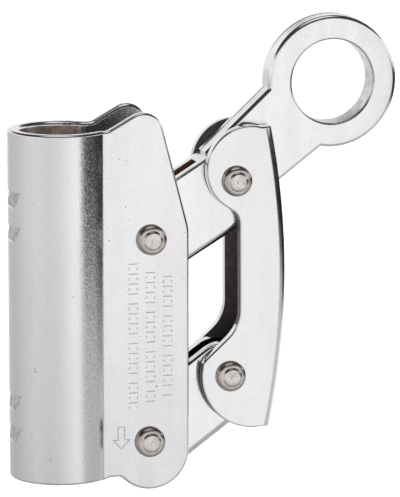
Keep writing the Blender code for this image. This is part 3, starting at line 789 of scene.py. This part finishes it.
def make_arrow():
    """An outlined arrow that points to the body's lower end."""
    outline = anticlockwise(list(ARROW))
    arrow = plain_prism("engraved_arrow", outline, MARK_DEPTH)
    core = plain_prism("arrow_core", inset_ring(outline, [MARK_STROKE] * len(outline)), 2 * MARK_DEPTH)
    boolean(arrow, core)
    arrow.data.transform(Matrix.Translation((0, -PLATE_FACE * MM, 0)))
    return arrow


def make_body_sheet():
    """One bent sheet: a quad skin round the tube, flat plates, and a rounded edge all round."""
    bm = bmesh.new()
    levels = sheet_levels()
    skins = []
    for which in (0, 1):
        grid = []
        for column in sheet_columns():
            places = [(*column(z)[which], z) for z in levels]
            grid.append([bm.verts.new((x * MM, y * MM, z * MM)) for x, y, z in places])
        for left, right in zip(grid, grid[1:]):
            for k in range(len(levels) - 1):
                bm.faces.new((left[k], right[k], right[k + 1], left[k + 1]))
        loops = []
        for sign, edge in ((-1, grid[0]), (1, grid[-1])):
            y = sign * (PLATE_FACE - which * SHEET) * MM
            rim = [bm.verts.new((x * MM, y, z * MM)) for x, z in plate_outline()]
            bm.faces.new(edge[::-1] + rim)
            loops.append(rim)
        feet = [column[0] for column in grid]
        tops = [column[-1] for column in grid]
        skins.append(feet + loops[1] + tops[::-1] + loops[0][::-1])
    outer, inner = skins
    for i in range(len(outer)):
        bm.faces.new((outer[i - 1], outer[i], inner[i], inner[i - 1]))
    weights = bm.edges.layers.float.new("bevel_weight_edge")
    for loop, radius in ((outer, PLATE_EDGE_R), (inner, MOUTH_EDGE_R)):
        for edge in ring_edges(bm, loop):
            edge[weights] = radius / MOUTH_EDGE_R
    body = new_object("body_sheet", bm)
    bevel = body.modifiers.new("rounded rims", "BEVEL")
    bevel.width = MOUTH_EDGE_R * MM
    bevel.segments = EDGE_STEPS
    bevel.limit_method = "WEIGHT"
    bevel.use_clamp_overlap = False
    settle(body)
    patch_plates(body)
    for name, pivot in (("upper", LEVER_PIVOT), ("lower", ARM_PIVOT)):
        boolean(body, round_bar(f"{name}_rivet_hole", pivot, PIN_R + HOLE_GAP, SHEET_BORE_HALF))
        hole = round_bar(f"{name}_spring_hole", spring_anchor(pivot), ANCHOR_HOLE_R, ANCHOR_BORE_HALF, 24)
        hole.data.transform(Matrix.Translation((0, (PLATE_FACE - SHEET / 2) * MM, 0)))
        boolean(body, hole)
    boolean(body, make_strokes())
    boolean(body, make_arrow())
    return body


def body_face(centre, normal, reach):
    """Material number: 1 on the tube's inside, 2 on the plates' inner faces, which carry painted shade, 3 in
    the engraved marks, 4 on the dents, 0 outside and on the edges."""
    bend_x, _, _ = crease_geometry()
    (left, right), (low, high) = MARK_AREA
    if 0.01 < PLATE_FACE + centre.y < MARK_DEPTH + 0.01 and left < centre.x < right and low < centre.z < high:
        return 3
    if centre.x > bend_x:
        return 2 if reach < PLATE_FACE - SHEET + 0.1 else 0
    flat = Vector((centre.x, centre.y, 0))
    if dent_depth(centre.z) and centre.x < 0 and TUBE_R - DENT_DEEP - 0.1 < flat.length < TUBE_R - 0.1:
        return 4
    inside = flat.length < TUBE_R - SHEET + 0.3 and flat.dot(normal) < 0
    return 1 if inside and MOUTH_EDGE_R < centre.z < TUBE_LENGTH - MOUTH_EDGE_R else 0


# ---- lever and arm ----

def nose_face(pivot):
    """The toothed cam face: its radius grows upwards, and each tooth has a steep upper side."""
    start, end = NOSE_ANGLES
    points = []
    for i in range(TOOTH_COUNT):
        for share, depth in ((0.0, 0.0), (TOOTH_CREST, TOOTH_DEPTH)):
            t = (i + share) / TOOTH_COUNT
            points.append(polar(pivot, NOSE_REACH + NOSE_RISE * t - depth, start + (end - start) * t))
    return points + [polar(pivot, NOSE_REACH + NOSE_RISE, end)]


def fork_outline(pivot, link, above, below):
    """Side outline of a forked section: round hub, cam nose to the left and a round boss at the link pin."""
    directions, reach, tilt = along(pivot, link)
    teeth = nose_face(pivot)
    shoulder_x, shoulder_z, shoulder_r = NOSE_SHOULDER
    end = rounded([
        (*local(pivot, directions, reach - UNDERSIDE_POINT, -below), 0),
        (*local(pivot, directions, reach + FORK_END_REACH, -below), FORK_END_R),
        (*local(pivot, directions, reach + FORK_END_REACH, above), above - 1),
        (*local(pivot, directions, -NECK_REACH, above), NECK_R),
        (pivot[0] + shoulder_x, pivot[1] + shoulder_z, shoulder_r),
        (*teeth[-1], 0),
    ])
    return teeth[-2::-1] + arc(pivot, below, HUB_START, tilt - 90) + end


def fork_edge_radius(pivot, link, below):
    """The edge radius at a fork's outline point: large along the underside, small on the teeth."""
    (along_dir, up_dir), reach, _ = along(pivot, link)

    def radius_at(point):
        dx, dz = point[0] - pivot[0], point[1] - pivot[1]
        u = dx * along_dir[0] + dz * along_dir[1]
        n = dx * up_dir[0] + dz * up_dir[1]
        if dx < TEETH_END_X:
            return TOOTH_EDGE_R
        distance = hypot(dx, dz) if u < 0 else -n
        if n < 0 and abs(distance - below) < 0.05 and u < reach + LOWER_EDGE_END:
            return LOWER_EDGE_R
        return FORK_EDGE_R

    return radius_at


def fork_slot_outline(pivot, link, right_end):
    """The slot between the cheeks: a pocket round the coil, a ledge for the moving leg, a shallow floor."""
    directions, _, tilt = along(pivot, link)
    ledge = COIL_R - WIRE_R - HOLE_GAP
    pocket_start = 180 - degrees(asin(ledge / POCKET_R))
    pocket_end = 360 + tilt + degrees(asin(SLOT_FLOOR / POCKET_R))
    return arc(pivot, POCKET_R, pocket_start, pocket_end) + [
        local(pivot, directions, right_end, SLOT_FLOOR),
        local(pivot, directions, right_end, SLOT_OVER),
        (pivot[0] - LEG_REACH - LEG_ROOM, pivot[1] + SLOT_OVER),
        (pivot[0] - LEG_REACH - LEG_ROOM, pivot[1] + ledge),
    ]


def make_fork(name, pivot, link, above, below):
    outline = fork_outline(pivot, link, above, below)
    return rounded_prism(f"{name}_forging", outline, FORK_HALF, fork_edge_radius(pivot, link, below))


def cut_fork(forging, name, pivot, link, slot_reach, link_gap):
    """Cut the slot between the cheeks and the holes for both pins."""
    boolean(forging, plain_prism(f"{name}_slot", fork_slot_outline(pivot, link, slot_reach), FORK_SLOT_HALF))
    for part, place, gap in (("hub", pivot, HOLE_GAP), ("link", link, link_gap)):
        boolean(forging, round_bar(f"{name}_{part}_hole", place, PIN_R + gap, FORK_BORE_HALF))


def eye_and_shank_outline():
    """The flat part of the lever: the shank's two edges and most of the eye's circle, as one outline."""
    corner = intersect_circle(*SHANK_UPPER, EYE_CENTRE, EYE_R)
    foot = intersect_circle(*SHANK_LOWER, EYE_CENTRE, EYE_R)
    start = degrees(atan2(foot[1] - EYE_CENTRE[1], foot[0] - EYE_CENTRE[0]))
    end = degrees(atan2(corner[1] - EYE_CENTRE[1], corner[0] - EYE_CENTRE[0])) % 360
    return [SHANK_UPPER[0], SHANK_ROOT, SHANK_LOWER[0]] + arc(EYE_CENTRE, EYE_R, start, end, EYE_STEP)


def make_lever():
    lever = make_fork("lever", LEVER_PIVOT, LEVER_LINK, *LEVER_DEPTHS)
    hole = arc(EYE_CENTRE, EYE_HOLE_R, 0, 360, EYE_STEP)[:-1]
    flat = rounded_prism("eye_forging", eye_and_shank_outline(), EYE_HALF, lambda point: EYE_EDGE_R,
                         hole=hole, hole_edge_r=EYE_HOLE_EDGE_R, parting=EYE_PARTING)
    boolean(lever, flat, "UNION")
    cut_fork(lever, "lever", LEVER_PIVOT, LEVER_LINK, LEVER_SLOT_REACH, HOLE_GAP)
    return lever


def make_arm():
    arm = make_fork("arm", ARM_PIVOT, ARM_LINK, *ARM_DEPTHS)
    cut_fork(arm, "arm", ARM_PIVOT, ARM_LINK, ARM_SLOT_REACH, OPEN_PIVOT_GAP)
    return arm


def fork_face(centre, normal, reach):
    """Material number: 1 inside the fork's slot, 0 elsewhere."""
    return 1 if reach < FORK_SLOT_HALF + 0.05 else 0


def lever_face(centre, normal, reach):
    """As fork_face, up to the slot's end; 2 in the connector eye."""
    if hypot(centre.x - EYE_CENTRE[0], centre.z - EYE_CENTRE[1]) < EYE_HOLE_R + 0.4:
        return 2
    (along_dir, _), _, _ = along(LEVER_PIVOT, LEVER_LINK)
    u = (centre.x - LEVER_PIVOT[0]) * along_dir[0] + (centre.z - LEVER_PIVOT[1]) * along_dir[1]
    return fork_face(centre, normal, reach) if u < LEVER_SLOT_REACH + 0.1 else 0


# ---- link ----

def spine_arc(radius, low, high):
    """The link's back between two heights, as a slow arc about a centre far to the left."""
    start = degrees(asin((low - SPINE_Z) / radius))
    end = degrees(asin((high - SPINE_Z) / radius))
    return arc((SPINE_X - SPINE_R, SPINE_Z), radius, start, end, SPINE_STEP)


def on_spine(point):
    """Whether an outline point lies on the link's back."""
    return abs(hypot(point[0] - SPINE_X + SPINE_R, point[1] - SPINE_Z) - SPINE_R) < 0.1


def link_outline():
    """A flange's outline: a lobe round each pin, a slender waist and the curved back."""
    upper_lobe = arc(UPPER_LOBE[:2], UPPER_LOBE[2], *UPPER_LOBE_ARC)
    lower_lobe = arc(LOWER_LOBE[:2], LOWER_LOBE[2], *LOWER_LOBE_ARC)
    waist = rounded([(*upper_lobe[-1], 0), *WAIST_CORNERS, (*lower_lobe[0], 0)])
    return upper_lobe[:-1] + waist + lower_lobe[1:] + spine_arc(SPINE_R, LINK_BOTTOM, LINK_TOP)


def make_link():
    """A rounded prism with its inside cut out, open to the left, and its web slotted at the top."""
    link = rounded_prism("link_sheet", link_outline(), LINK_FACE,
                         lambda point: LINK_BEND_R if on_spine(point) else LINK_EDGE_R)
    bottom, top = LINK_BOTTOM - CUTTER_OVER, LINK_TOP + CUTTER_OVER
    hollow = [(HOLLOW_LEFT, top), (HOLLOW_LEFT, bottom)] + spine_arc(SPINE_R - LINK_SHEET, bottom, top)
    cutter = rounded_prism("link_hollow", hollow, LINK_FACE - LINK_SHEET,
                           lambda point: HOLLOW_CORNER_R if point[0] > HOLLOW_LEFT + 5 else 0.02)
    boolean(link, cutter)
    slot_bottom = LEVER_LINK[1] - WEB_SLOT_DROP
    bm = bmesh.new()
    size = Matrix.Diagonal((20 * MM, 2 * WEB_SLOT_HALF * MM, (top - slot_bottom) * MM, 1))
    middle = Matrix.Translation(((SPINE_X - 1) * MM, 0, (top + slot_bottom) / 2 * MM))
    bmesh.ops.create_cube(bm, size=1, matrix=middle @ size)
    low = [edge for edge in bm.edges if edge.verts[0].co.z < (slot_bottom + 1) * MM
           and abs(edge.verts[0].co.x - edge.verts[1].co.x) > MM]
    bmesh.ops.bevel(bm, geom=low, offset=WEB_SLOT_CORNER_R * MM, segments=6, profile=0.5, affect="EDGES")
    boolean(link, new_object("web_slot", bm))
    for name, place in (("upper", LEVER_LINK), ("lower", ARM_LINK)):
        boolean(link, round_bar(f"{name}_link_hole", place, PIN_R + HOLE_GAP, SHEET_BORE_HALF))
    return link


def link_face(centre, normal, reach):
    """Material number: 1 inside the channel and on the waist's edge, 2 on the lower lobe's edge, else 0; 1
    and 2 carry painted shade.
    """
    if reach < LINK_FACE - LINK_SHEET + 0.05:
        back = hypot(centre.x - SPINE_X + SPINE_R, centre.z - SPINE_Z)
        return 0 if back > SPINE_R - 0.3 else 1
    if abs(normal.y) > 0.4 or normal.x > -0.3 or centre.y > 0:
        return 0
    if centre.z < PAINTED_SHADE_LOBE_TOP and normal.z < 0.5:
        return 2
    return 1 if PAINTED_SHADE_WAIST[0] < centre.z < PAINTED_SHADE_WAIST[1] else 0


# ---- small parts ----

def make_pin(name, place, face):
    """A riveted pin with low domed, spun heads; a shallow flat is pressed beside each head's middle."""
    seat, top = face + PIN_SEAT, face + PIN_HEAD_HEIGHT
    head = [(radius, top - depth) for radius, depth in PIN_DOME]
    head += [(PIN_HEAD_R, seat + PIN_RIM[1]), (PIN_HEAD_R - PIN_RIM[0], seat), (PIN_R, seat)]
    pin = turned(name, place, head + [(radius, -y) for radius, y in reversed(head)])
    for vert in pin.data.vertices:
        across = vert.co.x / MM - place[0] - PRESS_PLACE[0]
        upward = vert.co.z / MM - place[1] - PRESS_PLACE[1]
        press = max(0.0, 1 - (across * across + upward * upward) / PRESS_SQUARE)
        if abs(vert.co.y) > face * MM:
            vert.co.y -= PRESS_DEPTH * press * MM * (1 if vert.co.y > 0 else -1)
    return pin


def make_ring(name, place, inner, outer, middle, half, chamfer):
    """A flat ring or sleeve about the Y axis, with broken edges."""
    low, high = middle - half, middle + half
    right, left = outer - chamfer, inner + chamfer
    return turned(name, place, [(inner, high - chamfer), (left, high), (right, high), (outer, high - chamfer),
                                (outer, low + chamfer), (right, low), (left, low), (inner, low + chamfer)])


def spring_anchor(pivot):
    """The (x, z) place of the hole that holds the spring's fixed leg."""
    return polar(pivot, ANCHOR_REACH, ANCHOR_ANGLE)


def spring_route(pivot):
    """The wire's route: a leg on the slot's ledge, the coil, and a leg that ends in the back plate's hole."""
    last = ANCHOR_ANGLE + degrees(acos(COIL_R / ANCHOR_REACH)) - 360 * COIL_TURNS
    route = [(pivot[0] - LEG_REACH, -COIL_HALF, pivot[1] + COIL_R)]
    count = int((90 - last) / COIL_STEP)
    for i in range(count + 1):
        t = i / count
        x, z = polar(pivot, COIL_R, 90 + (last - 90) * t)
        route.append((x, COIL_HALF * (2 * t - 1), z))
    x, z = spring_anchor(pivot)
    toward = Vector((route[-1][0] - x, route[-1][2] - z)).normalized()
    for turn in range(0, 91, WIRE_BEND_STEP):
        back = WIRE_BEND_R * (1 - sin(radians(turn)))
        side = COIL_HALF + WIRE_BEND_R * (1 - cos(radians(turn)))
        route.append((x + toward.x * back, side, z + toward.y * back))
    route.append((x, PLATE_FACE - LEG_DEPTH, z))
    return route


def make_spring(name, pivot):
    """Round wire along the spring's route, as a closed mesh."""
    curve = bpy.data.curves.new(name, "CURVE")
    curve.dimensions = "3D"
    curve.bevel_depth = WIRE_R * MM
    curve.bevel_resolution = 4
    curve.use_fill_caps = True
    route = spring_route(pivot)
    spline = curve.splines.new("POLY")
    spline.points.add(len(route) - 1)
    for point, (x, y, z) in zip(spline.points, route):
        point.co = (x * MM, y * MM, z * MM, 1)
    wire = bpy.data.objects.new(name, curve)
    bpy.context.scene.collection.objects.link(wire)
    evaluated = wire.evaluated_get(bpy.context.evaluated_depsgraph_get())
    mesh = bpy.data.meshes.new_from_object(evaluated)
    bpy.data.objects.remove(wire, do_unlink=True)
    bm = bmesh.new()
    bm.from_mesh(mesh)
    bmesh.ops.remove_doubles(bm, verts=bm.verts, dist=1e-6)
    return new_object(name, bm)


# ---- assembly ----

place_piece(make_body_sheet(), "body_shell", "body",
            [sheet_plating, tube_inside, plate_inside_painted_shade, engraving, dent_steel], body_face, BODY_SHARP_ANGLE)
place_piece(make_lever(), "eye_lever", "eye_lever", [forged_plating, slot_brown, eye_wall], lever_face)
# on the arm, the slot's faces carry painted shade
place_piece(make_arm(), "lower_cam_arm", "lower_cam_arm", [forged_plating, arm_slot_painted_shade], fork_face)
place_piece(make_link(), "link_channel", "link", [link_plating, link_inside_painted_shade, lobe_edge_painted_shade], link_face)

for name, place, face, body in (
    ("upper_body", LEVER_PIVOT, PLATE_FACE, "body"),
    ("lower_body", ARM_PIVOT, PLATE_FACE, "body"),
    ("upper_link", LEVER_LINK, LINK_FACE, "link"),
    ("lower_link", ARM_LINK, LINK_FACE, "link"),
):
    place_piece(make_pin(f"{name}_rivet", place, face), f"{name}_pin", body,
                [spun_steel(f"{name}_rivet_steel", place)], angle=PIN_SHARP_ANGLE)

for prefix, place, wall, thickness, body in (
    ("lever", LEVER_PIVOT, PLATE_FACE - SHEET, BODY_WASHER, "body"),
    ("arm", ARM_PIVOT, PLATE_FACE - SHEET, BODY_WASHER, "body"),
    ("upper_link", LEVER_LINK, LINK_FACE - LINK_SHEET, LINK_WASHER, "link"),
    ("lower_link", ARM_LINK, LINK_FACE - LINK_SHEET, LINK_WASHER, "link"),
):
    for side, sign in (("front", -1), ("back", 1)):
        washer = make_ring(f"{prefix}_shim_{side}", place, PIN_R + HOLE_GAP, WASHER_R,
                           sign * (FORK_HALF + wall) / 2, thickness / 2, WASHER_CHAMFER)
        place_piece(washer, f"{prefix}_washer_{side}", body, [washer_steel])

for prefix, pivot, moving in (("lever", LEVER_PIVOT, "eye_lever"), ("arm", ARM_PIVOT, "lower_cam_arm")):
    bush = make_ring(f"{prefix}_sleeve", pivot, PIN_R + HOLE_GAP, BUSH_R, 0, BUSH_HALF, BUSH_CHAMFER)
    place_piece(bush, f"{prefix}_bush", "body", [bronze])
    spring = make_spring(f"{prefix}_coil_spring", pivot)
    paint(spring, [spring_steel])
    smooth(spring)
    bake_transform(spring)
    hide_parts(f"{prefix}_spring")


# ---- studio ----

# Lengths here are in metres.
FLOOR_Z = -0.12
FLOOR_HALF = 8
FLOOR_COLOUR = (0.93, 0.93, 0.935)
FLOOR_ROUGHNESS = 0.9
WALL_R = 0.5
WALL_FOOT = -0.4
WALL_TOP = 0.12
WALL_LEVELS = ((-180, 205), (-160, 211), (-125, 207), (-102, 213), (-82, 232), (-74, 239), (-60, 238),
               (-54, 215), (-46, 194), (-6, 190), (2, 236), (85, 236), (110, 190), (140, 188), (165, 196),
               (180, 205))  # azimuth, and the level at which the plating shows it
WALL_FADE = ((0.0, 0.6), (0.8, 0.92), (1.0, 1.0))  # brightness from the wall's foot up to the floor's height
STANDS = ((-58, -2, -0.032, 0.008), (-20, 62, -0.065, -0.03))  # azimuth limits, z where it starts and is full
STAND_COLOUR = (0.012, 0.011, 0.012)
STAND_EDGES = (12, 8)  # degrees over which a stand fades at its left and at its right
PLATING_SHARE = 0.89  # how much of the light the plating gives back
WORLD_GREYS = ((0.0, 0.42), (0.15, 0.45), (0.34, 0.6), (0.45, 0.85), (0.66, 0.95), (0.71, 0.04),
               (0.955, 0.04), (0.98, 1.0))  # from straight down to straight up
CAMERA_PLACE = (-0.3013, -1.2696, 0.3169)
CAMERA_AIM = (0.25939, 0.94816, -0.18361)
CAMERA_LENS = 303.4


def light_level(level):
    """The strength that shows as this 0-255 level after one reflection in the plating."""
    value = level / 255
    linear = ((value + 0.055) / 1.055) ** 2.4 if value > 0.04 else value / 12.92
    return linear / PLATING_SHARE


def make_floor():
    bm = bmesh.new()
    bmesh.ops.create_grid(bm, x_segments=1, y_segments=1, size=FLOOR_HALF)
    bmesh.ops.translate(bm, verts=bm.verts, vec=(0, 0, FLOOR_Z))
    floor = new_object("studio_floor", bm)
    look = Look("pale_floor", metallic=0.0)
    look.plug(FLOOR_COLOUR, look.shader.inputs["Base Color"])
    look.plug(FLOOR_ROUGHNESS, look.shader.inputs["Roughness"])
    floor.data.materials.append(look.material)
    floor.visible_glossy = False


def make_reflection_wall():
    """A round wall that only the metal sees: brightest in front and behind, with dark stands at the right."""
    bm = bmesh.new()
    middle = Matrix.Translation((0, 0, (WALL_FOOT + WALL_TOP) / 2))
    bmesh.ops.create_cone(bm, cap_ends=False, segments=96, radius1=WALL_R, radius2=WALL_R,
                          depth=WALL_TOP - WALL_FOOT, matrix=middle)
    wall = new_object("reflection_wall", bm)
    look = Look("reflection_wall")
    x, y, z = look.split()
    turn = look.math("ADD", look.math("DIVIDE", look.math("ARCTAN2", y, x), 2 * pi), 0.5)

    def share(azimuth):
        return (azimuth + 180) / 360

    colour = look.ramp(turn, *[(share(azimuth), light_level(level)) for azimuth, level in WALL_LEVELS])
    colour = look.multiply(colour, look.ramp(look.between(z, WALL_FOOT, FLOOR_Z), *WALL_FADE))
    for left, right, clear, full in STANDS:
        window = look.ramp(turn, (share(left), 0.0), (share(left + STAND_EDGES[0]), 1.0),
                           (share(right - STAND_EDGES[1]), 1.0), (share(right), 0.0))
        stand = look.math("MULTIPLY", window, look.between(z, clear, full))
        colour = look.mix(stand, colour, STAND_COLOUR)
    emission = look.tree.nodes.new("ShaderNodeEmission")
    look.plug(colour, emission.inputs["Color"])
    look.plug(emission.outputs["Emission"], look.tree.nodes["Material Output"].inputs["Surface"])
    wall.data.materials.append(look.material)
    wall.visible_camera = False
    wall.visible_diffuse = False
    wall.visible_shadow = False


def make_world():
    """Grey from below to white at the sides, then a dark band, and white again overhead."""
    world = bpy.data.worlds.new("studio")
    world.use_nodes = True
    nodes = Nodes(world.node_tree, "Generated")
    share = nodes.math("MULTIPLY_ADD", nodes.split()[2], 0.5, 0.5)
    nodes.plug(nodes.ramp(share, *WORLD_GREYS), nodes.tree.nodes["Background"].inputs["Color"])
    bpy.context.scene.world = world


def make_light(name, place, aim, size, power):
    data = bpy.data.lights.new(name, "AREA")
    data.shape = "DISK"
    data.size = size
    data.energy = power
    light = bpy.data.objects.new(name, data)
    light.location = place
    light.rotation_euler = (Vector(aim) - Vector(place)).to_track_quat("-Z", "Y").to_euler()
    light.visible_glossy = False
    bpy.context.scene.collection.objects.link(light)


def make_camera():
    data = bpy.data.cameras.new("camera")
    data.lens = CAMERA_LENS
    data.sensor_width = 36
    data.clip_end = 50
    camera = bpy.data.objects.new("camera", data)
    camera.location = CAMERA_PLACE
    camera.rotation_euler = Vector(CAMERA_AIM).to_track_quat("-Z", "Y").to_euler()
    bpy.context.scene.collection.objects.link(camera)
    bpy.context.scene.camera = camera


make_floor()
make_reflection_wall()
make_world()
make_light("overhead_softbox", (0.3, 0.8, 3.0), (0.1, 1.0, 0), 4.0, 160)
make_camera()
bpy.context.scene.view_settings.view_transform = "Standard"
